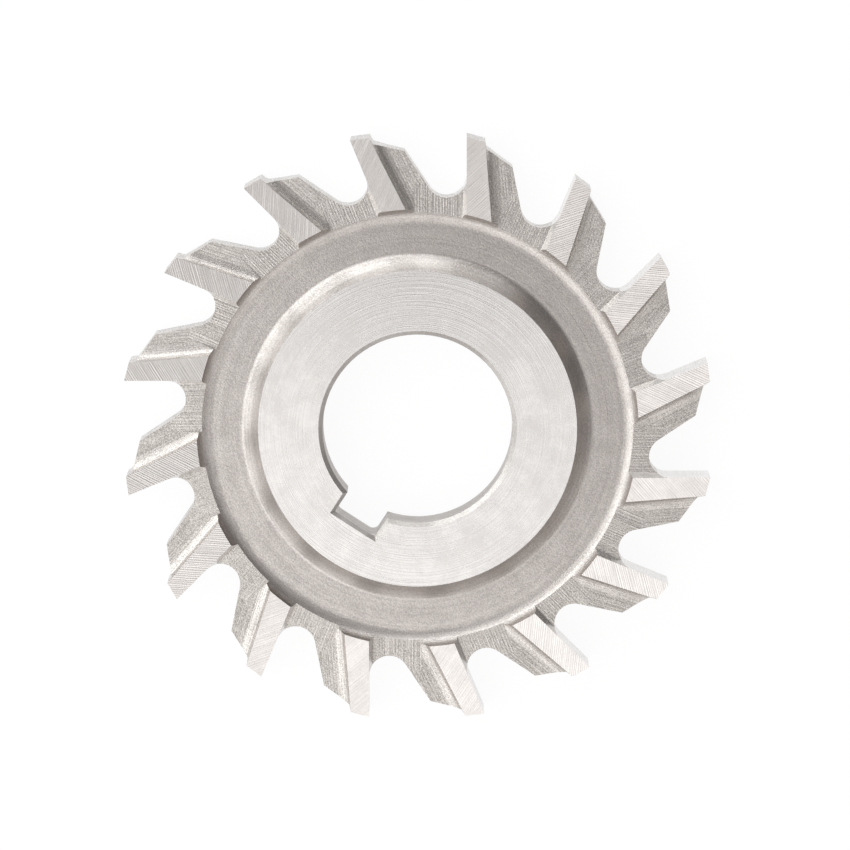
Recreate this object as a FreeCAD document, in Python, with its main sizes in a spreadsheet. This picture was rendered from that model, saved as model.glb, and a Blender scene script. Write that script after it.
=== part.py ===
import FreeCAD, Part
import math
import os

import Sketcher

# Side and face cutter: a disc of high-speed steel that cuts on its rim and on both of its sides.
# Millimetres. The cutter lies flat: the bore's axis is +Z, the lower hub face is at Z = 0, a tooth
# tip stands on +Y, and the cutting direction is anticlockwise seen from above.
#
# The blank is a turned disc: a thick hub round the bore, a thin web, and a thick rim. Each tooth is
# what is left between two gullets that go right through the rim. On both sides the rim is then
# milled back ahead of and behind each tooth, and what stays level with the hub is the ground side
# land that gives the cutter its width.

# Each size is its alias, its value and what it measures. Lengths are millimetres, angles degrees.
SIZES = (
    ("outer_diameter", 50.0, "over the tooth tips"),
    ("width", 4.0, "over the side lands and the hub faces"),
    ("teeth", 16, "number of teeth"),
    ("bore_diameter", 16.0, "ground bore, H7 on the real cutter"),
    ("bore_chamfer", 0.35, "45 degree chamfer at both ends of the bore"),
    ("hub_diameter", 27.0, "ground hub face, the seat of the arbor collars"),
    ("rim_inner_diameter", 37.2, "where the recess ends and the side lands begin"),
    ("recess_depth", 1.2, "turned recess between hub and rim, on each side"),
    ("recess_floor_diameter", 29.76, "where the hollow flank of the hub meets the recess floor"),
    ("hub_flank_radius", 2.1, "of that flank, which meets the floor at a slight angle"),
    ("rim_flank_radius", 1.36, "of the hollow flank of the rim, which runs smoothly into the floor"),
    ("keyway_width", 4.0, "slot for the driving key"),
    ("keyway_height", 17.7, "keyway floor to the far side of the bore"),
    ("keyway_corner", 0.6, "radius in the corners of the keyway floor"),
    ("keyway_chamfer", 0.3, "45 degree chamfer round the mouth of the keyway"),
    ("keyway_turn", 1.1, "how far the keyway stands clockwise of a tooth tip"),
    ("rake_angle", 9.5, "undercut of the tooth face from the radius through its tip"),
    ("root_diameter", 39.3, "over the bottoms of the gullets"),
    ("gullet_radius", 1.7, "rounding at the bottom of a gullet"),
    ("rim_land", 1.6, "width of the ground land behind the tip, along the rim"),
    ("rim_relief", 5.5, "fall of that land below the tangent at the tip"),
    ("step_length", 0.62, "short steep drop behind the ground land"),
    ("step_angle", 71.5, "fall of the drop"),
    ("back_length", 2.7, "length of the tooth's back behind the drop"),
    ("back_angle", 26.5, "fall of the tooth's back"),
    ("land_back_angle", 14.0, "back edge of the side land, from the radius through the tip"),
    ("back_gash_width", 3.5, "milled relief behind the side land"),
    ("back_gash_depth", 0.66, "its depth below the land"),
    ("back_gash_hollow", 1.15, "radius of its hollow wall, more than its depth"),
    ("front_gash_width", 4.5, "milled gash ahead of the side land"),
    ("front_gash_depth", 0.88, "its depth at its inner end"),
    ("front_gash_tilt", 3.6, "rise of its floor towards the rim"),
    ("front_gash_wall", 24.0, "lean of the wall between the gash and the side land"),
    ("gash_run_in", 1.0, "how far the gashes run past the rim's inner edge into the recess"),
    ("tool_overrun", 1.0, "how far every milling path runs clear of the steel"),
)

# Sizes that follow from those of the sheet.
OUTER_RADIUS = "Sizes.outer_diameter / 2"
PITCH = "360 / Sizes.teeth"
KEYWAY_FLOOR = "(Sizes.keyway_height - Sizes.bore_diameter / 2)"

# Points of a sketch's geometry, and its own origin and axes.
START, END, CENTRE = 1, 2, 3
ORIGIN = (-1, 1)
UP_AXIS = -2

UP = 90.0
FULL_TURN = 360.0
FORTY_FIVE = 45.0

# Where the two arcs of each flank of the recess meet, as a share of the flank. It changes nothing
# of the flank's shape, only how many triangles it is packed into.
HUB_SPLIT = 0.42
RIM_SPLIT = 0.72

document = FreeCAD.newDocument("side_face_cutter")
sheet = document.addObject("Spreadsheet::Sheet", "Sizes")
for row, (alias, value, meaning) in enumerate(SIZES, start=1):
    sheet.set(f"A{row}", alias)
    sheet.set(f"B{row}", str(value))
    sheet.set(f"C{row}", meaning)
    sheet.setAlias(f"B{row}", alias)
document.recompute()

body = document.addObject("PartDesign::Body", "side_face_cutter")
body.Label = "side_face_cutter"


def size(expression):
    """The present value of an expression on the sheet, as a plain number."""
    return float(sheet.evalExpression(expression.replace("Sizes.", "")))


def origin_feature(role):
    """One of the body's own origin planes or axes, found by its role."""
    return next(item for item in body.Origin.OriginFeatures if item.Role == role)


def new_sketch(name, role, lift=None):
    """A sketch on an origin plane, moved along that plane's normal by an expression."""
    sketch = body.newObject("Sketcher::SketchObject", name)
    sketch.AttachmentSupport = [(origin_feature(role), "")]
    sketch.MapMode = "FlatFace"
    if lift:
        sketch.setExpression("AttachmentOffset.Base.z", lift)
    return sketch


def point(x, y):
    return FreeCAD.Vector(x, y, 0)


def onward(start, degrees, length):
    """The point a length away from start, in a direction counted anticlockwise from +X."""
    turn = math.radians(degrees)
    return start + point(length * math.cos(turn), length * math.sin(turn))


def bind(sketch, kind, where, expression):
    """A dimension of the sketch that follows an expression on the sheet."""
    value = size(expression)
    if kind == "Angle":
        value = math.radians(value)
    number = sketch.addConstraint(Sketcher.Constraint(kind, *where, value))
    sketch.setExpression(f"Constraints[{number}]", expression)


def place(sketch, geometry, end, x, y):
    """Dimensions one point of the sketch from the sketch's origin, across and up."""
    bind(sketch, "DistanceX", (*ORIGIN, geometry, end), x)
    bind(sketch, "DistanceY", (*ORIGIN, geometry, end), y)


def line(sketch, start, end):
    return sketch.addGeometry(Part.LineSegment(start, end), False)


def arc(sketch, centre, radius, first, last):
    """An arc from one direction to another, in degrees, anticlockwise."""
    circle = Part.Circle(centre, FreeCAD.Vector(0, 0, 1), radius)
    return sketch.addGeometry(Part.ArcOfCircle(circle, math.radians(first), math.radians(last)), False)


def two_arcs(sketch, centre, start, end, share):
    """An arc from start to end as two: drawn as one it is packed into twice the triangles."""
    first, last = (math.degrees(math.atan2(spot.y - centre.y, spot.x - centre.x)) for spot in (start, end))
    turn = (last - first) % FULL_TURN
    radius = (start - centre).Length
    near = arc(sketch, centre, radius, first, first + share * turn)
    far = arc(sketch, centre, radius, first + share * turn, first + turn)
    sketch.addConstraint(Sketcher.Constraint("Tangent", near, END, far, START))
    sketch.addConstraint(Sketcher.Constraint("Equal", near, far))
    return near, far


def join(sketch, *ends):
    """Joins the listed ends two by two, each given as (geometry, end)."""
    for near, far in zip(ends[::2], ends[1::2]):
        sketch.addConstraint(Sketcher.Constraint("Coincident", *near, *far))


def polygon(sketch, corners):
    """A closed outline of straight lines whose corners are pairs of expressions."""
    spots = [point(size(x), size(y)) for x, y in corners]
    sides = [line(sketch, spot, spots[(i + 1) % len(spots)]) for i, spot in enumerate(spots)]
    for i, side in enumerate(sides):
        join(sketch, (side, END), (sides[(i + 1) % len(sides)], START))
        place(sketch, side, START, *corners[i])
    return sides


def finish(feature, cuts=True):
    """Recomputes the body up to this feature, and stops if a cut took nothing away."""
    before = body.Shape.Volume if cuts else 0.0
    body.Tip = feature
    document.recompute()
    if feature.Shape.isNull() or not feature.Shape.isValid():
        raise RuntimeError(f"{feature.Name} has no valid shape")
    if cuts and feature.Shape.Volume >= before:
        raise RuntimeError(f"{feature.Name} takes nothing away")
    return feature


def pocket(sketch, name, depth=None, taper=None):
    """Mills the sketch's outline into the body, right through it or to a depth."""
    feature = body.newObject("PartDesign::Pocket", name)
    feature.Profile = sketch
    feature.Type = "Length" if depth else "ThroughAll"
    if depth:
        feature.setExpression("Length", depth)
    if taper:
        feature.TaperAngle = taper
    return finish(feature)


def mirrored(name, originals):
    """The same work on the lower side of the cutter."""
    feature = body.newObject("PartDesign::Mirrored", name)
    feature.Originals = originals
    feature.MirrorPlane = (middle, [""])
    return finish(feature)


def round_the_bore(name, originals):
    """The same work at every tooth."""
    feature = body.newObject("PartDesign::PolarPattern", name)
    feature.Originals = originals
    feature.Axis = (origin_feature("Z_Axis"), [""])
    feature.Angle = FULL_TURN
    feature.setExpression("Occurrences", "Sizes.teeth")
    return finish(feature)


def turned_blank():
    """The disc as it leaves the lathe, with its bore and the chamfers at both ends of the bore."""
    sketch = new_sketch("blank_section", "XZ_Plane")
    bore = "Sizes.bore_diameter / 2"
    mouth = "Sizes.bore_diameter / 2 + Sizes.bore_chamfer"
    polygon(sketch, (
        (bore, "Sizes.bore_chamfer"),
        (mouth, "0"),
        (OUTER_RADIUS, "0"),
        (OUTER_RADIUS, "Sizes.width"),
        (mouth, "Sizes.width"),
        (bore, "Sizes.width - Sizes.bore_chamfer"),
    ))
    feature = body.newObject("PartDesign::Revolution", "blank")
    feature.Profile = sketch
    feature.ReferenceAxis = (origin_feature("Z_Axis"), [""])
    feature.Angle = FULL_TURN
    return finish(feature, cuts=False)


def turned_recess():
    """The ring turned out of the upper side between hub and rim, with a hollow flank on each side."""
    sketch = new_sketch("recess_section", "XZ_Plane")
    high, top = size("Sizes.width"), size("Sizes.width + Sizes.tool_overrun")
    deep = size("Sizes.recess_depth")
    hub_edge = point(size("Sizes.hub_diameter / 2"), high)
    hub_foot = point(size("Sizes.recess_floor_diameter / 2"), high - deep)
    rim_edge = point(size("Sizes.rim_inner_diameter / 2"), high)
    hub_round, rim_round = size("Sizes.hub_flank_radius"), size("Sizes.rim_flank_radius")

    # The centres of both flanks: over the middle of the hub's chord, and over the rim's foot.
    chord = hub_foot - hub_edge
    hub_centre = hub_edge + chord / 2
    hub_centre += point(-chord.y, chord.x) * math.sqrt(hub_round**2 / chord.Length**2 - 0.25)
    rim_foot = rim_edge - point(math.sqrt(2 * rim_round * deep - deep**2), deep)
    rim_centre = rim_foot + point(0, rim_round)

    hub_wall = line(sketch, point(hub_edge.x, top), hub_edge)
    hub_high, hub_low = two_arcs(sketch, hub_centre, hub_edge, hub_foot, HUB_SPLIT)
    bottom = line(sketch, hub_foot, rim_foot)
    rim_low, rim_high = two_arcs(sketch, rim_centre, rim_foot, rim_edge, RIM_SPLIT)
    rim_wall = line(sketch, rim_edge, point(rim_edge.x, top))
    lid = line(sketch, point(rim_edge.x, top), point(hub_edge.x, top))
    sketch.addConstraint(Sketcher.Constraint("Tangent", bottom, END, rim_low, START))
    join(
        sketch,
        (hub_wall, END), (hub_high, START),
        (hub_low, END), (bottom, START),
        (rim_high, END), (rim_wall, START),
        (rim_wall, END), (lid, START),
        (lid, END), (hub_wall, START),
    )
    sketch.addConstraint(Sketcher.Constraint("Vertical", hub_wall))
    sketch.addConstraint(Sketcher.Constraint("Vertical", rim_wall))
    sketch.addConstraint(Sketcher.Constraint("Horizontal", bottom))
    sketch.addConstraint(Sketcher.Constraint("Horizontal", lid))
    bind(sketch, "DistanceY", (*ORIGIN, lid, START), "Sizes.width + Sizes.tool_overrun")
    place(sketch, hub_wall, END, "Sizes.hub_diameter / 2", "Sizes.width")
    place(sketch, bottom, START, "Sizes.recess_floor_diameter / 2", "Sizes.width - Sizes.recess_depth")
    place(sketch, rim_wall, START, "Sizes.rim_inner_diameter / 2", "Sizes.width")
    bind(sketch, "Radius", (hub_high,), "Sizes.hub_flank_radius")
    bind(sketch, "Radius", (rim_low,), "Sizes.rim_flank_radius")
    for flank in (hub_high, rim_low):
        spread = sketch.Geometry[flank]
        bind(sketch, "Angle", (flank,), f"{math.degrees(spread.LastParameter - spread.FirstParameter):.6f}")
    feature = body.newObject("PartDesign::Groove", "recess")
    feature.Profile = sketch
    feature.ReferenceAxis = (origin_feature("Z_Axis"), [""])
    feature.Angle = FULL_TURN
    return finish(feature)


def turn_keyway(sketch):
    """The keyway doesn't point quite at a tooth tip: its sketches are turned clockwise."""
    sketch.AttachmentOffset = FreeCAD.Placement(
        sketch.AttachmentOffset.Base, FreeCAD.Rotation(FreeCAD.Vector(0, 0, -1), size("Sizes.keyway_turn"))
    )
    sketch.setExpression("AttachmentOffset.Rotation.Angle", "Sizes.keyway_turn")


def keyway():
    """The slot from the bore into the hub, with rounded corners at its floor."""
    sketch = new_sketch("keyway_outline", "XY_Plane", "Sizes.width")
    turn_keyway(sketch)
    half = size("Sizes.keyway_width / 2")
    floor = size(KEYWAY_FLOOR)
    corner = size("Sizes.keyway_corner")
    left = line(sketch, point(-half, 0), point(-half, floor - corner))
    left_corner = arc(sketch, point(corner - half, floor - corner), corner, UP, 2 * UP)
    bottom = line(sketch, point(corner - half, floor), point(half - corner, floor))
    right_corner = arc(sketch, point(half - corner, floor - corner), corner, 0, UP)
    right = line(sketch, point(half, floor - corner), point(half, 0))
    inside = line(sketch, point(half, 0), point(-half, 0))
    for near, far in (
        ((left, END), (left_corner, END)),
        ((left_corner, START), (bottom, START)),
        ((bottom, END), (right_corner, END)),
        ((right_corner, START), (right, START)),
    ):
        sketch.addConstraint(Sketcher.Constraint("Tangent", *near, *far))
    join(sketch, (right, END), (inside, START), (inside, END), (left, START))
    sketch.addConstraint(Sketcher.Constraint("Vertical", left))
    sketch.addConstraint(Sketcher.Constraint("Vertical", right))
    sketch.addConstraint(Sketcher.Constraint("Horizontal", bottom))
    sketch.addConstraint(Sketcher.Constraint("Equal", left_corner, right_corner))
    sketch.addConstraint(Sketcher.Constraint("Symmetric", left, START, right, END, UP_AXIS))
    bind(sketch, "DistanceY", (*ORIGIN, left, START), "0")
    bind(sketch, "DistanceX", (left, START, right, END), "Sizes.keyway_width")
    bind(sketch, "DistanceY", (*ORIGIN, bottom, START), KEYWAY_FLOOR)
    bind(sketch, "Radius", (left_corner,), "Sizes.keyway_corner")
    return pocket(sketch, "keyway")


def keyway_mouth():
    """The chamfer round the keyway on the upper face, cut with square corners."""
    sketch = new_sketch("keyway_mouth_outline", "XY_Plane", "Sizes.width")
    turn_keyway(sketch)
    side = "(Sizes.keyway_width / 2 + Sizes.keyway_chamfer)"
    floor = f"{KEYWAY_FLOOR} + Sizes.keyway_chamfer"
    polygon(sketch, ((f"-{side}", "0"), (side, "0"), (side, floor), (f"-{side}", floor)))
    return pocket(sketch, "keyway_mouth", depth="Sizes.keyway_chamfer", taper=-FORTY_FIVE)


def gullet():
    """The space ahead of the tooth on +Y, from that tooth's face round to the tip of the next one.

    It runs down the undercut face, round the bottom, up the next tooth's back to its knee, along
    that back, up the short drop and along the ground land to the next tip."""
    sketch = new_sketch("gullet_outline", "XY_Plane", "Sizes.width")
    radius = size(OUTER_RADIUS)
    pitch = size(PITCH)
    rake = math.radians(size("Sizes.rake_angle"))
    rounding = size("Sizes.gullet_radius")
    root = size("Sizes.root_diameter / 2")
    outside = radius + size("Sizes.tool_overrun")

    tip = point(0, radius)
    next_tip = onward(point(0, 0), UP + pitch, radius)
    heel = onward(next_tip, pitch - size("Sizes.rim_relief"), size("Sizes.rim_land"))
    drop = onward(heel, pitch - size("Sizes.step_angle"), size("Sizes.step_length"))
    knee = onward(drop, pitch - size("Sizes.back_angle"), size("Sizes.back_length"))

    # The rounding touches the tooth face and comes down to the root circle.
    across = radius * math.sin(rake) - rounding
    along = math.sqrt((root + rounding) ** 2 - across**2)
    centre = point(
        across * math.cos(rake) - along * math.sin(rake),
        across * math.sin(rake) + along * math.cos(rake),
    )
    face_foot = onward(centre, math.degrees(rake), rounding)
    # The next tooth's back comes down from the knee and touches the rounding on its far side.
    sight = centre - knee
    fall = math.degrees(math.atan2(sight.y, sight.x) - math.asin(rounding / sight.Length))
    back_foot = onward(knee, fall, math.sqrt(sight.Length**2 - rounding**2))

    face = line(sketch, tip, face_foot)
    bottom = arc(sketch, centre, rounding, fall - UP, math.degrees(rake))
    slope = line(sketch, back_foot, knee)
    back = line(sketch, knee, drop)
    step = line(sketch, drop, heel)
    land = line(sketch, heel, next_tip)
    next_side = line(sketch, next_tip, onward(point(0, 0), UP + pitch, outside))
    lid = arc(sketch, point(0, 0), outside, UP, UP + pitch)
    side = line(sketch, point(0, outside), tip)
    ray = line(sketch, point(0, 0), next_tip)
    sketch.toggleConstruction(ray)

    join(
        sketch,
        (slope, END), (back, START),
        (back, END), (step, START),
        (step, END), (land, START),
        (land, END), (next_side, START),
        (next_side, END), (lid, END),
        (lid, START), (side, START),
        (side, END), (face, START),
        (ray, START), ORIGIN,
        (ray, END), (land, END),
        (lid, CENTRE), ORIGIN,
    )
    sketch.addConstraint(Sketcher.Constraint("Tangent", face, END, bottom, END))
    sketch.addConstraint(Sketcher.Constraint("Tangent", slope, START, bottom, START))
    place(sketch, face, START, "0", OUTER_RADIUS)
    bind(sketch, "Angle", (face,), "Sizes.rake_angle - 90")
    bind(sketch, "Radius", (bottom,), "Sizes.gullet_radius")
    bind(sketch, "Distance", (*ORIGIN, bottom, CENTRE), "Sizes.root_diameter / 2 + Sizes.gullet_radius")
    bind(sketch, "Distance", (ray,), OUTER_RADIUS)
    bind(sketch, "Angle", (ray,), f"90 + {PITCH}")
    bind(sketch, "Distance", (land,), "Sizes.rim_land")
    bind(sketch, "Angle", (land,), f"180 + {PITCH} - Sizes.rim_relief")
    bind(sketch, "Distance", (step,), "Sizes.step_length")
    bind(sketch, "Angle", (step,), f"180 + {PITCH} - Sizes.step_angle")
    bind(sketch, "Distance", (back,), "Sizes.back_length")
    bind(sketch, "Angle", (back,), f"180 + {PITCH} - Sizes.back_angle")
    bind(sketch, "Angle", (next_side,), f"90 + {PITCH}")
    bind(sketch, "Radius", (lid,), f"{OUTER_RADIUS} + Sizes.tool_overrun")
    sketch.addConstraint(Sketcher.Constraint("Vertical", side))
    return pocket(sketch, "gullet")


# The gashes on the side of the rim start inside the recess and run out past the tips. Each is
# milled along a straight path, and its section is drawn square to that path, with its origin on
# the edge of the side land. Both sizes below are measured along the radius on +Y.
GASH_START = "(Sizes.rim_inner_diameter / 2 - Sizes.gash_run_in)"
HEEL = f"({OUTER_RADIUS} - Sizes.rim_land * sin(Sizes.rim_relief))"

# The front gash gets shallower towards the rim and its wall leans, so its path is turned a little
# from the land's front edge, to leave that edge straight and in line with the tooth face.
FRONT_PATH_TURN = "(asin(tan(Sizes.front_gash_tilt) * tan(Sizes.front_gash_wall)) / 1 deg)"
FRONT_WALL = f"(tan(Sizes.front_gash_wall) / cos(Sizes.front_gash_tilt) / cos({FRONT_PATH_TURN}))"


def gash(name, edge, turn, tilt, draw_section):
    """Mills a side gash along the path that leaves the radius by a turn and rises by a tilt."""
    sketch = new_sketch(f"{name}_section", "XZ_Plane")
    sketch.setExpression(
        "AttachmentOffset",
        f"placement(vector({edge}; Sizes.width; -{GASH_START});"
        f" rotation(vector(0; 1; 0); {turn}) * rotation(vector(1; 0; 0); {tilt}))",
    )
    draw_section(sketch)
    length = f"({OUTER_RADIUS} - {GASH_START}) / cos({turn}) + Sizes.tool_overrun"
    return pocket(sketch, name, depth=length)


def front_gash_section(sketch):
    """Ahead of the side land: a leaning wall that starts at the land's front edge, and a floor."""
    polygon(sketch, (
        (f"Sizes.tool_overrun * {FRONT_WALL}", "Sizes.tool_overrun"),
        (f"-Sizes.front_gash_depth * {FRONT_WALL}", "-Sizes.front_gash_depth"),
        ("-Sizes.front_gash_width", "-Sizes.front_gash_depth"),
        ("-Sizes.front_gash_width", "Sizes.tool_overrun"),
    ))


def back_gash_section(sketch):
    """Behind the side land: a hollow wall that starts at the land's back edge, and a floor."""
    top, deep = size("Sizes.tool_overrun"), size("Sizes.back_gash_depth")
    hollow_size, wide = size("Sizes.back_gash_hollow"), size("Sizes.back_gash_width")
    bend = hollow_size - deep
    foot = math.sqrt(hollow_size**2 - bend**2)
    near = foot - hollow_size
    wall = line(sketch, point(near, top), point(near, bend))
    hollow = arc(sketch, point(foot, bend), hollow_size, 2 * UP, 3 * UP)
    floor = line(sketch, point(foot, -deep), point(wide, -deep))
    far_wall = line(sketch, point(wide, -deep), point(wide, top))
    lid = line(sketch, point(wide, top), point(near, top))
    sketch.addConstraint(Sketcher.Constraint("Tangent", wall, END, hollow, START))
    sketch.addConstraint(Sketcher.Constraint("Tangent", hollow, END, floor, START))
    join(
        sketch,
        (floor, END), (far_wall, START),
        (far_wall, END), (lid, START),
        (lid, END), (wall, START),
    )
    sketch.addConstraint(Sketcher.Constraint("Vertical", wall))
    sketch.addConstraint(Sketcher.Constraint("Vertical", far_wall))
    sketch.addConstraint(Sketcher.Constraint("Horizontal", floor))
    sketch.addConstraint(Sketcher.Constraint("Horizontal", lid))
    sketch.addConstraint(Sketcher.Constraint("PointOnObject", *ORIGIN, hollow))
    bind(sketch, "Radius", (hollow,), "Sizes.back_gash_hollow")
    bind(sketch, "DistanceY", (*ORIGIN, lid, END), "Sizes.tool_overrun")
    place(sketch, far_wall, START, "Sizes.back_gash_width", "-Sizes.back_gash_depth")


def side_gashes():
    """Both gashes of the upper side, then the same on the lower side, at every tooth."""
    front = gash(
        "front_gash",
        edge=f"({OUTER_RADIUS} - {GASH_START}) * tan(Sizes.rake_angle)",
        turn=f"(Sizes.rake_angle - {FRONT_PATH_TURN})",
        tilt="Sizes.front_gash_tilt",
        draw_section=front_gash_section,
    )
    back = gash(
        "back_gash",
        edge=(
            "Sizes.rim_land * cos(Sizes.rim_relief)"
            f" + ({HEEL} - {GASH_START}) * tan(Sizes.land_back_angle)"
        ),
        turn="Sizes.land_back_angle",
        tilt="0",
        draw_section=back_gash_section,
    )
    both_sides = body.newObject("PartDesign::MultiTransform", "side_gashes")
    both_sides.Originals = [front, back]
    flip = body.newObject("PartDesign::Mirrored", "lower_side")
    flip.MirrorPlane = (middle, [""])
    ring = body.newObject("PartDesign::PolarPattern", "every_tooth")
    ring.Axis = (origin_feature("Z_Axis"), [""])
    ring.Angle = FULL_TURN
    ring.setExpression("Occurrences", "Sizes.teeth")
    both_sides.Transformations = [flip, ring]
    return finish(both_sides)


# The plane halfway between the two sides: what is cut above it is cut below it too.
middle = body.newObject("PartDesign::Plane", "middle")
middle.AttachmentSupport = [(origin_feature("XY_Plane"), "")]
middle.MapMode = "FlatFace"
middle.setExpression("AttachmentOffset.Base.z", "Sizes.width / 2")

turned_blank()
upper_recess = turned_recess()
keyway()
upper_mouth = keyway_mouth()
mirrored("lower_recess_and_mouth", [upper_recess, upper_mouth])
round_the_bore("gullets", [gullet()])
side_gashes()

document.recompute()
for item in document.Objects:
    if "Invalid" in item.State or "Error" in item.State:
        raise RuntimeError(f"{item.Name} didn't compute: {item.State}")
    if item.isDerivedFrom("Sketcher::SketchObject") and (item.solve() != 0 or not item.FullyConstrained):
        raise RuntimeError(f"{item.Name} can't be solved, or some of it is left loose")

cutter = body.Shape
if cutter.isNull() or not cutter.isValid() or len(cutter.Solids) != 1:
    raise RuntimeError("the cutter is not one valid solid")

os.makedirs("parts", exist_ok=True)
cutter.exportStep(f"parts/{body.Label}.step")
box = cutter.optimalBoundingBox()
print(f"{body.Label}: {cutter.Volume:.2f} mm3, {len(cutter.Faces)} faces,"
      f" {box.XLength:.3f} x {box.YLength:.3f} x {box.ZLength:.3f} mm")
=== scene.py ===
# %% [markdown]
# # A side and face cutter in high-speed steel
#
# The real object is one disc of hardened high-speed steel, 50 mm across and 4 mm thick. A blank was
# turned, its gullets and side gashes were milled, the recesses on both sides were blasted matt, and
# last the bore, the hub faces, the side lands and the tooth faces were ground.
#
# All of it is one colour of steel. What tells the parts of it from each other is how each surface
# was made, so this lesson is about finishes: where each one sits, and which way its marks run.

import math

import bmesh
import bpy
from mathutils import Matrix, Vector, noise


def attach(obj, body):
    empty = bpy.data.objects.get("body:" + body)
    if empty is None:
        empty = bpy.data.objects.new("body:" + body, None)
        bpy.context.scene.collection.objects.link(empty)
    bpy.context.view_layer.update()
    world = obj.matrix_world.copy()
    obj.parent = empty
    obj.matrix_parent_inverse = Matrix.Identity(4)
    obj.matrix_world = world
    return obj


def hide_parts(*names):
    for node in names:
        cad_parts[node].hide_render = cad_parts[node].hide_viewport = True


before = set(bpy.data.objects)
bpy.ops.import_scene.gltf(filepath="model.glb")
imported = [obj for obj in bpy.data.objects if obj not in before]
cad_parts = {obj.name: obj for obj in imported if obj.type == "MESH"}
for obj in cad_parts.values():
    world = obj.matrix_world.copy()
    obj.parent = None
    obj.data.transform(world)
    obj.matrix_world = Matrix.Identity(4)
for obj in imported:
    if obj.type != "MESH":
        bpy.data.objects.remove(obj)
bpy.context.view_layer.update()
cad_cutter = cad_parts["side_face_cutter"]
print("CAD model:", len(cad_cutter.data.polygons), "triangles")

# %% [markdown]
# ## The sizes that the finishes need
#
# The model is in metres, with the bore's axis on Z and a tooth tip on +Y. Each finish begins and
# ends at an edge of the real cutter, so the script needs the radii and heights of those edges. They
# are the CAD model's own sizes, in millimetres. An azimuth is in degrees, anticlockwise from +X.

# %% Sizes of the cutter
MM = 0.001
TOP = 4.0
MIDDLE = TOP / 2
RECESS_FLOOR = 2.8
BORE_RADIUS = 8.0
HUB_RADIUS = 13.5
RIM_RADIUS = 18.6
TIP_RADIUS = 25.0
TEETH = 16
PITCH = 360 / TEETH
TIP_AZIMUTH = 90
KEYWAY_AZIMUTH = 88.9

print("tooth pitch:", PITCH, "degrees")

# %% [markdown]
# ## The camera
#
# The photograph was taken from nearly straight above. Only the far rims of the teeth show, which
# puts the camera a little towards the top of the picture. The distance comes from how much smaller
# the lower face looks than the upper one. In the picture the cutter is also turned: the tooth that
# the model has on +Y points down and to the left.

# %% Camera
PHOTO_TURN = math.radians(148.0)
CAMERA_LEAN = math.radians(8.44)
CAMERA_ROLL = math.radians(0.16)
# Where the lens is, along the camera's own axes, from a point on the bore's axis at AIM_HEIGHT.
CAMERA_PLACE = Vector((0.624, 0.118, 450.94))
AIM_HEIGHT = 2.275

camera_axes = (
    Matrix.Rotation(-PHOTO_TURN, 3, "Z")
    @ Matrix.Rotation(-CAMERA_LEAN, 3, "X")
    @ Matrix.Rotation(CAMERA_ROLL, 3, "Y")
)
camera = bpy.data.objects.new("camera", bpy.data.cameras.new("camera"))
camera.data.lens = 226.2
camera.data.sensor_width = 36.0
camera.data.clip_start = 0.01
camera.matrix_world = (
    Matrix.Translation((camera_axes @ CAMERA_PLACE + Vector((0, 0, AIM_HEIGHT))) * MM)
    @ camera_axes.to_4x4()
)
bpy.context.scene.collection.objects.link(camera)
bpy.context.scene.camera = camera
print("camera at", [round(c, 3) for c in camera.location])

# %% [markdown]
# ## The steel as a piece of its own
#
# The CAD model is the right shape, but it comes as thousands of loose triangles with one finish.
# A copy is joined up along its edges, and its flat faces are made whole again. Then every face can
# be told what made it.

# %% Copy and clean the mesh
# Corners this near, in millimetres, are one corner, and faces this even, in degrees, are one face.
SAME_CORNER = 0.001
SAME_FACE = 0.4

cutter_mesh = bpy.data.meshes.new("ground_cutter")
shape = bmesh.new()
shape.from_mesh(cad_cutter.data)
bmesh.ops.remove_doubles(shape, verts=shape.verts, dist=SAME_CORNER * MM)
bmesh.ops.dissolve_limit(
    shape, angle_limit=math.radians(SAME_FACE), verts=shape.verts, edges=shape.edges,
)
shape.normal_update()
print("joined and cleaned:", len(shape.faces), "faces")

# %% [markdown]
# ## Which tool made each face
#
# A machinist can name the tool from where a surface lies and which way it faces, and so can the
# script. Flat and level with the top is ground. Low and flat between hub and rim is the blasted
# recess. Flat outside the rim's inner edge is a milled gash. Upright at the outside is the profile
# of a tooth. The faces could be picked by hand instead, but a rule needs no list of face numbers.

# %% Name the finish of each face
FINISHES = (
    "ground_hub", "ground_land", "blasted_recess", "back_gash",
    "front_gash", "tooth_face", "tooth_back", "bore",
)
# Where the areas end, in millimetres. A limit lies a little past the edge that it is for.
BORE_LIMIT = BORE_RADIUS + 0.4
HUB_LIMIT = HUB_RADIUS + 0.1
RIM_LIMIT = RIM_RADIUS + 0.05
TOP_LIMIT = TOP - 0.01
KEYWAY_LIMIT = 10.6
KEYWAY_HALF_WIDTH = 3.2
# How much a face looks up or down: 0 is upright, and 1 is level.
UPRIGHT = 0.02
LEVEL = 0.9995
# How much a face looks the way that the teeth cut: 1 is straight ahead, and below 0 is backward.
AHEAD = 0.5
STRAIGHT_AHEAD = 0.9
BACKWARD = -0.05


def azimuth_of(place):
    return math.degrees(math.atan2(place.y, place.x))


def turned_up(place, azimuth):
    """A place seen from above, turned round the axis until azimuth points along +Y."""
    return Matrix.Rotation(math.radians(90 - azimuth), 2) @ place.xy


def middle_of(face):
    """A face's mean corner in millimetres, with its mean radius: a ring's middle is on the axis."""
    corners = [vert.co / MM for vert in face.verts]
    radius = sum(corner.xy.length for corner in corners) / len(corners)
    return sum(corners, Vector()) / len(corners), radius


def in_keyway(place, radius):
    """True inside the box round the bore that holds the keyway and its chamfers."""
    turned = turned_up(place, KEYWAY_AZIMUTH)
    return abs(turned.x) < KEYWAY_HALF_WIDTH and turned.y > 0 and radius < KEYWAY_LIMIT


def cutting_way(place):
    """The way that the teeth cut at a place, as a level unit vector."""
    return Vector((-place.y, place.x, 0)).normalized()


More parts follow.
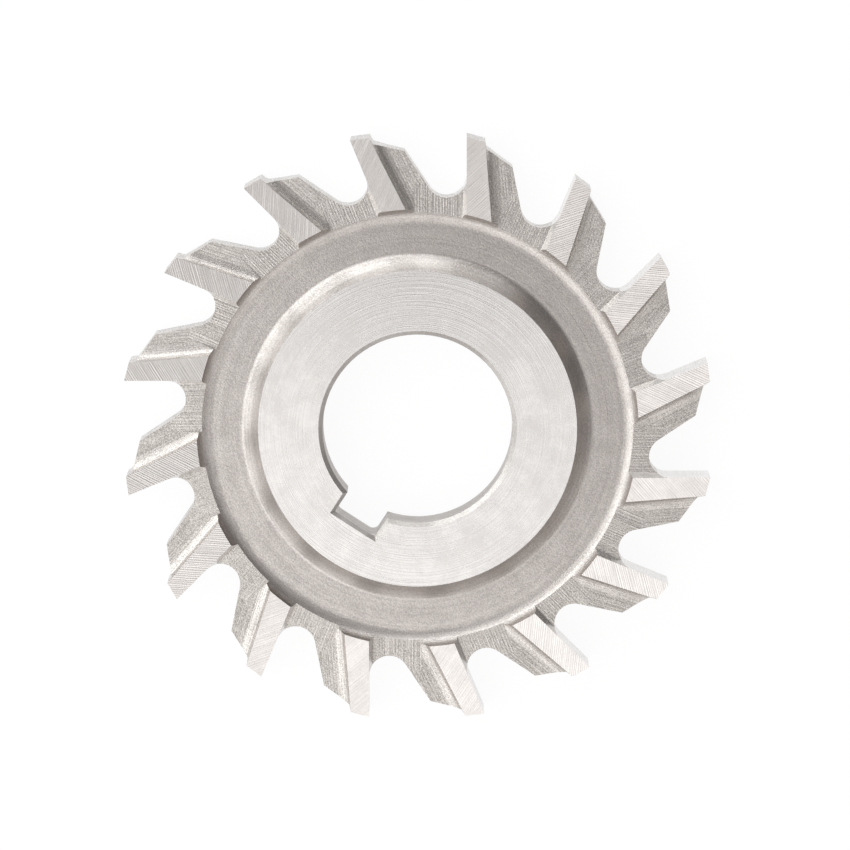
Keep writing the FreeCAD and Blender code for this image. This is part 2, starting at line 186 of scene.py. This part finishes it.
def finish_of(face):
    """The name of a face's finish, from where it lies and which way it looks."""
    place, radius = middle_of(face)
    height = abs(place.z - MIDDLE) + MIDDLE
    flatness = abs(face.normal.z)
    if flatness > LEVEL and height > TOP_LIMIT:
        return "ground_hub" if radius < HUB_LIMIT else "ground_land"
    if radius < BORE_LIMIT or in_keyway(place, radius):
        return "bore"
    if radius < RIM_LIMIT:
        return "blasted_recess"
    forward = face.normal.dot(cutting_way(place))
    upright = flatness <= UPRIGHT
    if height > RECESS_FLOOR and forward < AHEAD and not upright:
        return "front_gash" if flatness < LEVEL and forward > BACKWARD else "back_gash"
    if forward > STRAIGHT_AHEAD or (forward > AHEAD and not upright):
        return "tooth_face"
    return "tooth_back"


counts = {name: 0 for name in FINISHES}
for face in shape.faces:
    name = finish_of(face)
    face.material_index = FINISHES.index(name)
    counts[name] += 1
print("faces by finish:", counts)

# %% [markdown]
# ## The flank of the hub
#
# In the photograph the hub's flank is one bright band, right up to the hub's edge. The CAD model's
# hollow flank starts too steep for that, and mirrors the recess there. So the flank is drawn evener:
# it starts just inside the hub's edge, less steep, and flattens to the same foot.

# %% Even out the flank of the hub
# The radii where the drawn flank starts and ends, and how hollow it is, where 0 is a plain cone.
FLANK_START = 13.42
FLANK_END = 14.88
FLANK_HOLLOW = 0.4
# A corner this near to an edge, in millimetres, is on it.
NEAR = 0.01


def flank_drop(radius):
    """How far the hub's flank lies below the hub's face at a radius, in millimetres."""
    share = (radius - FLANK_START) / (FLANK_END - FLANK_START)
    return (TOP - RECESS_FLOOR) * share * (1 + FLANK_HOLLOW * (1 - share))


moved = 0
for vert in shape.verts:
    radius = vert.co.xy.length / MM
    height = vert.co.z / MM - MIDDLE
    if HUB_RADIUS - NEAR < radius < FLANK_END + NEAR:
        worn = FLANK_START if radius < HUB_RADIUS + NEAR else min(radius, FLANK_END)
        vert.co.xy *= worn / radius
        vert.co.z = (MIDDLE + math.copysign(TOP - MIDDLE - flank_drop(worn), height)) * MM
        moved += 1
shape.normal_update()
print("moved:", moved, "corners of the flank")

# %% [markdown]
# ## Which way the marks run
#
# Every tool leaves its marks along the path that it took. A grinding wheel leaves slanting lines on
# the side lands, and a gash cutter leaves lines along the gash. This is stored on the mesh as a
# coordinate: the first number runs along the marks, the third runs across them, and the second
# keeps one tooth's marks from being a copy of the next one's. A pattern that is stretched along the
# first then follows the tool. The rings that a lathe leaves need no stored numbers, because the
# shader can work them out from the place.

# %% Lay the straight marks
# For each finish with straight marks: how far its middle lies round from the tooth's tip, and how
# far its marks lean from the radius through that tip, both in degrees.
STRAIGHT = {
    "ground_land": (-5.5, -41.0),
    "back_gash": (-8.5, 14.0),
    "front_gash": (4.0, 9.5),
}
# The lean of the hatch differs by up to this much from land to land.
HATCH_SPREAD = 12
# The second number of the lay jumps by these from tooth to tooth and from side to side.
TOOTH_JUMP = 40.0
SIDE_JUMP = 700


def lay_straight(place, tip_azimuth, lean, jump):
    """Straight marks that lean from the radius through a tooth tip."""
    turned = turned_up(place, tip_azimuth)
    tilt = math.radians(lean)
    along = -turned.x * math.sin(tilt) + turned.y * math.cos(tilt)
    across = turned.x * math.cos(tilt) + turned.y * math.sin(tilt)
    return Vector((along, jump, across))


def lay_upright(place):
    """Marks straight through the cutter's width, as on the outlines of the teeth."""
    around = math.radians(azimuth_of(place)) * TIP_RADIUS
    return Vector((place.z, 0, place.xy.length + around))


def tooth_at(place, offset):
    """Number of the tooth that owns a place, where offset is the middle of that area, in degrees."""
    return round((azimuth_of(place) - TIP_AZIMUTH - offset) / PITCH) % TEETH


layer = shape.loops.layers.float_vector.new("lay")
for face in shape.faces:
    name = FINISHES[face.material_index]
    if name not in STRAIGHT:
        for loop in face.loops:
            loop[layer] = lay_upright(loop.vert.co / MM)
        continue
    middle = middle_of(face)[0]
    side = 1 if middle.z > MIDDLE else -1
    offset, lean = STRAIGHT[name]
    tooth = tooth_at(middle, offset)
    if name == "ground_land":
        # Each land has its own place in the noise. The numbers of that place mean nothing.
        lean += HATCH_SPREAD * noise.noise(Vector((tooth * 3.7, side, 0.5)))
    tip_azimuth = TIP_AZIMUTH + tooth * PITCH
    jump = TOOTH_JUMP * tooth + SIDE_JUMP * side
    for loop in face.loops:
        loop[layer] = lay_straight(loop.vert.co / MM, tip_azimuth, lean, jump)
print("marks laid on", len(shape.faces), "faces")

# %% [markdown]
# ## Round and sharp edges
#
# A ground edge shows as a line, and a turned flank rolls over without one. One smoothing angle for
# the whole piece would be simpler, but the blasted recess is softer than the rest. So each edge is
# made round or sharp by the angle between its faces. The modifier then keeps the big flat faces
# flat to the light, so that no shade creeps over a land from the narrow faces beside it.

# %% Shade the edges and hand over the piece
# An edge that bends by less than this, in degrees, is shaded as round.
ROUND_EDGE = 24
ROUND_RECESS_EDGE = 40
# From 1 to 100: here the largest faces decide alone.
LARGE_FACES_WIN = 100

for edge in shape.edges:
    blasted = all(FINISHES[face.material_index] == "blasted_recess" for face in edge.link_faces)
    limit = math.radians(ROUND_RECESS_EDGE if blasted else ROUND_EDGE)
    edge.smooth = edge.is_manifold and edge.calc_face_angle(0) < limit
for face in shape.faces:
    face.smooth = True
shape.to_mesh(cutter_mesh)
shape.free()

cutter = bpy.data.objects.new("ground_cutter", cutter_mesh)
bpy.context.scene.collection.objects.link(cutter)
weighted = cutter.modifiers.new("flat_faces_stay_flat", "WEIGHTED_NORMAL")
weighted.keep_sharp = True
weighted.weight = LARGE_FACES_WIN
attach(cutter, "root")
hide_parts("side_face_cutter")
print("piece:", cutter.name, len(cutter_mesh.polygons), "faces")

# %% [markdown]
# ## Steel, in eight finishes
#
# High-speed steel is a warm light grey metal. It is fully metallic, so its colour is the colour of
# its reflection, and its look is all in how rough it is and which way it is rough. One material with
# masks could hold all of that. A material for each finish was chosen, because then the numbers of
# one surface stand together and can be read by themselves.
# On the upright faces of the teeth the colour also carries painted highlight.

# %% Colours and nodes


def linear(hex_colour):
    """An sRGB hex colour as the linear values that Blender works with."""
    values = [int(hex_colour[i:i + 2], 16) / 255 for i in (1, 3, 5)]
    return tuple(v / 12.92 if v <= 0.04045 else ((v + 0.055) / 1.055) ** 2.4 for v in values) + (1.0,)


def add_node(tree, kind, settings=None, **inputs):
    """Adds a node, sets its properties, and sets or links its inputs by name or number.

    An input that is given as a node is linked to the first output which that node has in use."""
    node = tree.nodes.new(kind)
    for name, value in (settings or {}).items():
        setattr(node, name, value)
    for name, value in inputs.items():
        key = int(name[1:]) if name.startswith("_") else name.replace("_", " ")
        if isinstance(value, bpy.types.Node):
            value = next(output for output in value.outputs if output.enabled)
        if isinstance(value, bpy.types.NodeSocket):
            tree.links.new(value, node.inputs[key])
        else:
            node.inputs[key].default_value = value
    return node


def bare_material(name):
    """A material with no nodes yet, and its node tree."""
    material = bpy.data.materials.new(name)
    material.use_nodes = True
    material.node_tree.nodes.clear()
    return material, material.node_tree


print("the sRGB grey #808080 is", round(linear("#808080")[0], 3), "in linear light")

# %% [markdown]
# ### Rings round the bore
#
# The hub and the bore were ground and the recess was turned while the blank went round, so their
# marks are rings. A stored coordinate would break where the angle jumps from 360 to 0. The shader
# works with the outward direction instead, which has no such seam.

# %% The lay of the rings


def ring_lay(tree):
    """Marks round the bore's axis, with no seam: the third number runs outward and up the flanks."""
    place = add_node(tree, "ShaderNodeTexCoord").outputs["Object"]
    level = add_node(tree, "ShaderNodeVectorMath", {"operation": "MULTIPLY"}, _0=place, _1=(1, 1, 0))
    outward = add_node(tree, "ShaderNodeVectorMath", {"operation": "NORMALIZE"}, _0=level)
    around = add_node(
        tree, "ShaderNodeVectorMath", {"operation": "SCALE"}, _0=outward, Scale=HUB_RADIUS,
    )
    radius = add_node(tree, "ShaderNodeVectorMath", {"operation": "LENGTH"}, _0=level)
    height = add_node(tree, "ShaderNodeSeparateXYZ", Vector=place).outputs["Z"]
    rise = add_node(tree, "ShaderNodeMath", {"operation": "SUBTRACT"}, _0=height, _1=MIDDLE * MM)
    rise = add_node(tree, "ShaderNodeMath", {"operation": "ABSOLUTE"}, _0=rise)
    recess_middle = (HUB_RADIUS + RIM_RADIUS) / 2 * MM
    side = add_node(tree, "ShaderNodeMath", {"operation": "SUBTRACT"}, _0=radius, _1=recess_middle)
    side = add_node(tree, "ShaderNodeMath", {"operation": "SIGN"}, _0=side)
    across = add_node(
        tree, "ShaderNodeMath", {"operation": "MULTIPLY_ADD"}, _0=rise, _1=side, _2=radius,
    )
    across = add_node(tree, "ShaderNodeMath", {"operation": "DIVIDE"}, _0=across, _1=MM)
    across = add_node(tree, "ShaderNodeCombineXYZ", Z=across)
    return add_node(tree, "ShaderNodeVectorMath", {"operation": "ADD"}, _0=around, _1=across)


print("rings: one turn is", round(math.tau * HUB_RADIUS, 1), "mm of pattern")

# %% [markdown]
# ### Marks, grain and clouds
#
# Marks are noise that is stretched along the tool's path. Grain is fine speckle, the same in all
# directions. Clouds are soft patches that handling and oil leave, and they are the same noise as
# grain, only large.
#
# A grinding wheel's marks are some hundredths of a millimetre wide, and a blasted grain is not much
# larger. Both are too fine to show where a millimetre takes up 12 pixels, so they are drawn
# coarser: the marks 0.07 to 0.35 mm wide, and the grain 0.1 to 0.2 mm.

# %% The patterns
CLOUD_SIZE = 1.6


def marks(tree, lay, along, across):
    """Streaks as long as along and as wide as across, in millimetres, between 0 and 1."""
    spread = (1 / along, 1 / along, 1 / across)
    scaled = add_node(tree, "ShaderNodeVectorMath", {"operation": "MULTIPLY"}, _0=lay, _1=spread)
    return add_node(tree, "ShaderNodeTexNoise", Vector=scaled, Scale=1.0, Detail=1.0, Roughness=0.6)


def grain(tree, size, detail=2.0):
    """Speckle of one size in millimetres, the same in all directions, between 0 and 1."""
    place = add_node(tree, "ShaderNodeTexCoord").outputs["Object"]
    return add_node(
        tree, "ShaderNodeTexNoise", Vector=place, Scale=1 / (size * MM), Detail=detail, Roughness=0.6,
    )


def weigh(tree, parts):
    """The sum of some values, where parts are pairs of a value and its share."""
    total = 0.0
    for value, share in parts:
        total = add_node(
            tree, "ShaderNodeMath", {"operation": "MULTIPLY_ADD"}, _0=value, _1=share, _2=total,
        )
    return total


print("clouds:", CLOUD_SIZE, "mm")

# %% [markdown]
# ### One recipe for every finish
#
# Marks, grain and clouds all shift the tone a little, and a lighter place is also glossier. The
# heights of marks and grain go into one bump, in real millimetres. Where a tool left regular lines,
# a wave that wanders a little is added to them. Painted pictures of steel would look as rich, but
# numbers in millimetres can be checked against a real surface.

# %% The recipe
# Noise lies mostly between these two, so there the dark and the light tone are reached.
NOISE_LOW = 0.38
NOISE_HIGH = 0.62
# How far regular lines wander, in radians, and the length and width of a stretch that does so.
WANDER = 9.0
WANDER_STRETCH = (8.0, 0.5)


def steel(name, light, dark, mark, speckle, smooth, rough, ring=False, blend=(0.4, 0.35, 0.25),
          fall=(0, 0), lines=None):
    """One finish.

    light and dark are its tones. mark is how long, how wide and how deep the tool's marks are, and
    speckle how wide and how deep its grain is, in millimetres. smooth and rough are the ends of its
    gloss. ring is whether its marks run round the bore. blend is how much marks, grain and clouds
    share in the tone. fall is the slight slope that the tool left, along and across its marks, in
    millimetres for each millimetre. lines is how far apart and how deep its regular lines are,
    where it left such lines."""
    material, tree = bare_material(name)
    mark_length, mark_width, mark_depth = mark
    speckle_width, speckle_depth = speckle
    if ring:
        lay = ring_lay(tree)
    else:
        lay = add_node(tree, "ShaderNodeAttribute", {"attribute_name": "lay"}).outputs["Vector"]
    streak = marks(tree, lay, mark_length, mark_width)
    spot = grain(tree, speckle_width)
    cloud = grain(tree, CLOUD_SIZE, detail=3.0)
    heights = [(streak, mark_depth), (spot, speckle_depth)]
    if lines:
        spacing, depth = lines
        across = add_node(tree, "ShaderNodeSeparateXYZ", Vector=lay).outputs["Z"]
        bend = weigh(tree, [(marks(tree, lay, *WANDER_STRETCH), WANDER), (across, math.tau / spacing)])
        heights.append((add_node(tree, "ShaderNodeMath", {"operation": "SINE"}, _0=bend), depth))
    height = weigh(tree, heights)
    slope = add_node(
        tree, "ShaderNodeVectorMath", {"operation": "DOT_PRODUCT"}, _0=lay, _1=(fall[0], 0, fall[1]),
    )
    height = add_node(tree, "ShaderNodeMath", {"operation": "SUBTRACT"}, _0=height, _1=slope)
    mix = weigh(tree, zip((streak, spot, cloud), blend))
    tone = add_node(tree, "ShaderNodeMapRange", Value=mix, From_Min=NOISE_LOW, From_Max=NOISE_HIGH)
    shader = add_node(
        tree, "ShaderNodeBsdfPrincipled",
        Base_Color=add_node(
            tree, "ShaderNodeMix", {"data_type": "RGBA"}, Factor=tone, _6=linear(dark), _7=linear(light),
        ),
        Metallic=1.0,
        Roughness=add_node(tree, "ShaderNodeMapRange", Value=tone, To_Min=rough, To_Max=smooth),
        Normal=add_node(tree, "ShaderNodeBump", Height=height, Strength=1.0, Distance=MM),
    )
    add_node(tree, "ShaderNodeOutputMaterial", Surface=shader)
    cutter_mesh.materials.append(material)
    print("finish:", name)


# %% [markdown]
# ### The eight finishes
#
# They are in the order of the list of finishes above, so that each face finds its own.

# %% Make the finishes
# Ground on a turning table: rings so fine that they only spread the light across themselves.
steel(
    "ring_ground_hub_steel", light="#EAE6E3", dark="#DDD8D5", mark=(9.0, 0.07, 0.007),
    speckle=(0.2, 0.001), smooth=0.22, rough=0.30, ring=True, blend=(0.3, 0.1, 0.6),
)
# Ground with a cup wheel: slanting lines that you can see one by one. The lands fall away behind
# their cutting edges, and so the light finds them at different places round the cutter.
steel(
    "hatch_ground_land_steel", light="#E5DFDB", dark="#D0CAC6", mark=(6.0, 0.09, 0.013),
    speckle=(0.15, 0.003), smooth=0.30, rough=0.38, blend=(0.4, 0.2, 0.4), fall=(0.029, 0.062),
    lines=(0.18, 0.003),
)
# Turned, then blasted matt: a grainy grey with the ghost of the turning rings.
steel(
    "blasted_recess_steel", light="#C5BEB9", dark="#A59E9A", mark=(12.0, 0.35, 0.012),
    speckle=(0.12, 0.026), smooth=0.32, rough=0.42, ring=True, blend=(0.2, 0.6, 0.2), fall=(0, 0.05),
)
# Milled and left so: faint coarse lines along the gash, under a torn grain.
steel(
    "milled_back_gash_steel", light="#D1CAC5", dark="#96908B", mark=(6.0, 0.09, 0.018),
    speckle=(0.10, 0.029), smooth=0.32, rough=0.42, blend=(0.25, 0.61, 0.14), fall=(0.025, 0),
    lines=(0.25, 0.002),
)
# The same with another cutter. Its lines show more, and its floor falls away along them.
steel(
    "milled_front_gash_steel", light="#D1CAC5", dark="#96908B", mark=(6.0, 0.09, 0.022),
    speckle=(0.11, 0.032), smooth=0.32, rough=0.42, blend=(0.3, 0.56, 0.14), fall=(0.10, 0),
    lines=(0.23, 0.004),
)
# Ground like the lands, and the brightest part of the tool.
# Its near-white tones are partly painted highlight: they stand in for the bright floor that these
# upright faces mirror.
steel(
    "ground_tooth_face_steel_and_painted_highlight", light="#F4F3F2", dark="#E4E1DF", mark=(2.5, 0.14, 0.010),
    speckle=(0.15, 0.004), smooth=0.25, rough=0.36,
)
# Milled with a form cutter: marks across the width of the tooth, and a coarse grain over them.
# Its light tone is partly painted highlight too, for the bright floor that these upright faces mirror.
steel(
    "milled_tooth_back_steel_and_painted_highlight", light="#ECEAE8", dark="#BCB7B3", mark=(1.2, 0.16, 0.020),
    speckle=(0.18, 0.014), smooth=0.30, rough=0.44,
)
# Ground bore and broached keyway: satin, with faint rings.
steel(
    "ground_bore_steel", light="#C6C1BD", dark="#A8A29E", mark=(9.0, 0.12, 0.008),
    speckle=(0.15, 0.004), smooth=0.42, rough=0.50, ring=True,
)

# %% [markdown]
# ## Studio
#
# The photograph has a white ground with next to no shadow. The cutter lies on a pale floor that
# shows white to the camera and to the steel, and still takes a faint shadow.

# %% Floor and background
WHITE = (1, 1, 1, 1)
FLOOR_REACH = 3.0
# How much of the floor is glow, for rays that look at it. The rest is matt and takes the shadow.
FLOOR_GLOW = 0.93
# How bright the background is to the other rays, which light the floor.
SKY_HELP = 0.7


def seen(tree):
    """1 for rays that look at a thing directly, in a mirror or through glass, and 0 for others."""
    rays = add_node(tree, "ShaderNodeLightPath").outputs
    some = add_node(
        tree, "ShaderNodeMath", {"operation": "MAXIMUM"},
        _0=rays["Is Camera Ray"], _1=rays["Is Glossy Ray"],
    )
    return add_node(
        tree, "ShaderNodeMath", {"operation": "MAXIMUM"}, _0=some, _1=rays["Is Transmission Ray"],
    )


def stage_piece(name, points, faces, material):
    """A piece of the studio, which isn't part of the object."""
    mesh = bpy.data.meshes.new(name)
    mesh.from_pydata(points, [], faces)
    mesh.materials.append(material)
    piece = bpy.data.objects.new(name, mesh)
    bpy.context.scene.collection.objects.link(piece)
    return piece


paint, tree = bare_material("pale_floor")
glow = add_node(tree, "ShaderNodeMath", {"operation": "MULTIPLY"}, _0=seen(tree), _1=FLOOR_GLOW)
matt = add_node(tree, "ShaderNodeBsdfDiffuse", Color=linear("#F4F3F1"))
white = add_node(tree, "ShaderNodeEmission", Color=WHITE, Strength=1.0)
mixed = add_node(tree, "ShaderNodeMixShader", Fac=glow, _1=matt, _2=white)
add_node(tree, "ShaderNodeOutputMaterial", Surface=mixed)
corners = [(x * FLOOR_REACH, y * FLOOR_REACH, 0) for x, y in ((-1, -1), (1, -1), (1, 1), (-1, 1))]
stage_piece("floor", corners, [(0, 1, 2, 3)], paint)

world = bpy.data.worlds.new("studio")
world.use_nodes = True
bpy.context.scene.world = world
tree = world.node_tree
tree.nodes.clear()
strength = add_node(tree, "ShaderNodeMapRange", Value=seen(tree), To_Min=SKY_HELP, To_Max=1.0)
sky = add_node(tree, "ShaderNodeBackground", Color=WHITE, Strength=strength)
add_node(tree, "ShaderNodeOutputWorld", Surface=sky)
bpy.context.scene.view_settings.view_transform = "Standard"
print("floor:", 2 * FLOOR_REACH, "m across")

# %% [markdown]
# ### The light tent
#
# Bright steel in an all white room looks flat, and under bare lamps it shows each lamp as a spot. A
# photographer hangs a tent of cloth round it and lights that from one side: here from the upper
# left of the picture, with a dark side at the right. The tent is a dome. Low down, how bright it is
# goes by the direction, counted in degrees from the right of the picture, anticlockwise, and that
# pattern turns a little with height. Its crown is evener, and brighter towards the lower left.
# Where the cloth is brightest it is also a touch cooler.

# %% Light tent
# Low down, the direction and how bright the cloth is there.
TENT = (
    (0, 0.4), (15, 0.1), (45, 0.0), (60, 0.4), (75, 2.2), (90, 3.1), (150, 3.1), (180, 2.7),
    (210, 2.2), (240, 1.8), (270, 1.3), (315, 1.1), (345, 0.8), (360, 0.4),
)
# The pattern turns by so many degrees for each degree of height over TENT_LOW.
TENT_TURN = 0.9
TENT_LOW = 20
# From TENT_LOW up, the crown takes over from the pattern in this many degrees.
TENT_FADE = 60
# How bright the crown is, how much of that comes and goes with the direction, and its bright side.
TENT_TOP = 1.02
TENT_LEAN = 0.75
TENT_BRIGHT_SIDE = 230
TENT_RADIUS = 0.6
TENT_STEPS = 72
TENT_RISE = (0, 10, 20, 30, 40, 50, 60, 70, 80, 89)


def tent_light(azimuth, elevation):
    """How bright the tent is in a direction: a ring low down that turns with height, and a crown."""
    along = (azimuth - TENT_TURN * (elevation - TENT_LOW)) % 360
    (first, low), (last, high) = next(
        (near, far) for near, far in zip(TENT, TENT[1:]) if near[0] <= along <= far[0]
    )
    ring = low + (high - low) * (along - first) / (last - first)
    toward = math.cos(math.radians(azimuth - TENT_BRIGHT_SIDE)) * math.cos(math.radians(elevation))
    crown = TENT_TOP * (1 + TENT_LEAN * toward)
    share = min(1.0, max(0.0, (elevation - TENT_LOW) / TENT_FADE))
    return ring + (crown - ring) * share


def beside(azimuth, elevation, distance):
    """A place in the direction that the photograph shows at azimuth, and that high over the floor."""
    turn = math.radians(azimuth) - PHOTO_TURN
    level = math.cos(math.radians(elevation)) * distance
    height = math.sin(math.radians(elevation)) * distance
    return Vector((math.cos(turn) * level, math.sin(turn) * level, height))


points, faces, lights = [], [], []
for row, elevation in enumerate(TENT_RISE):
    for column in range(TENT_STEPS):
        azimuth = 360 * column / TENT_STEPS
        points.append(beside(azimuth, elevation, TENT_RADIUS))
        lights.append(tent_light(azimuth, elevation))
        if row:
            after = (column + 1) % TENT_STEPS
            lower = (row - 1) * TENT_STEPS
            upper = row * TENT_STEPS
            faces.append((lower + column, lower + after, upper + after, upper + column))
cloth, tree = bare_material("tent_cloth")
level = add_node(tree, "ShaderNodeAttribute", {"attribute_name": "light"}).outputs["Fac"]
cool = add_node(tree, "ShaderNodeMapRange", Value=level, From_Min=1.0, From_Max=3.0)
tint = add_node(
    tree, "ShaderNodeMix", {"data_type": "RGBA"}, Factor=cool, _6=WHITE, _7=linear("#F8FDFF"),
)
lit = add_node(tree, "ShaderNodeEmission", Color=tint, Strength=level)
add_node(tree, "ShaderNodeOutputMaterial", Surface=lit)
tent = stage_piece("light_tent", points, faces, cloth)
tent.data.attributes.new("light", "FLOAT", "POINT").data.foreach_set("value", lights)
tent.visible_camera = False
print("tent:", len(faces), "panels")

# %% [markdown]
# ### The camera in the steel
#
# The camera hangs over the cutter, and the steel mirrors it as a dark spot. That is why the upper
# side of the photograph is a little darker. A black disc behind the lens stands in for it.

# %% Camera shade
# In metres. The disc is centred on the lens and lies a little behind it.
SHADE_RADIUS = 0.10
SHADE_BEHIND = 0.01
SHADE_CORNERS = 48

black, tree = bare_material("camera_black")
matt = add_node(tree, "ShaderNodeBsdfDiffuse", Color=linear("#202020"))
add_node(tree, "ShaderNodeOutputMaterial", Surface=matt)
rim = []
for corner in range(SHADE_CORNERS):
    turn = math.tau * corner / SHADE_CORNERS
    on_disc = Vector((SHADE_RADIUS * math.cos(turn), SHADE_RADIUS * math.sin(turn), SHADE_BEHIND))
    rim.append(camera.matrix_world @ on_disc)
shade = stage_piece("camera_shade", rim, [tuple(range(SHADE_CORNERS))], black)
shade.visible_camera = False
print("camera shade:", 2 * SHADE_RADIUS, "m across")
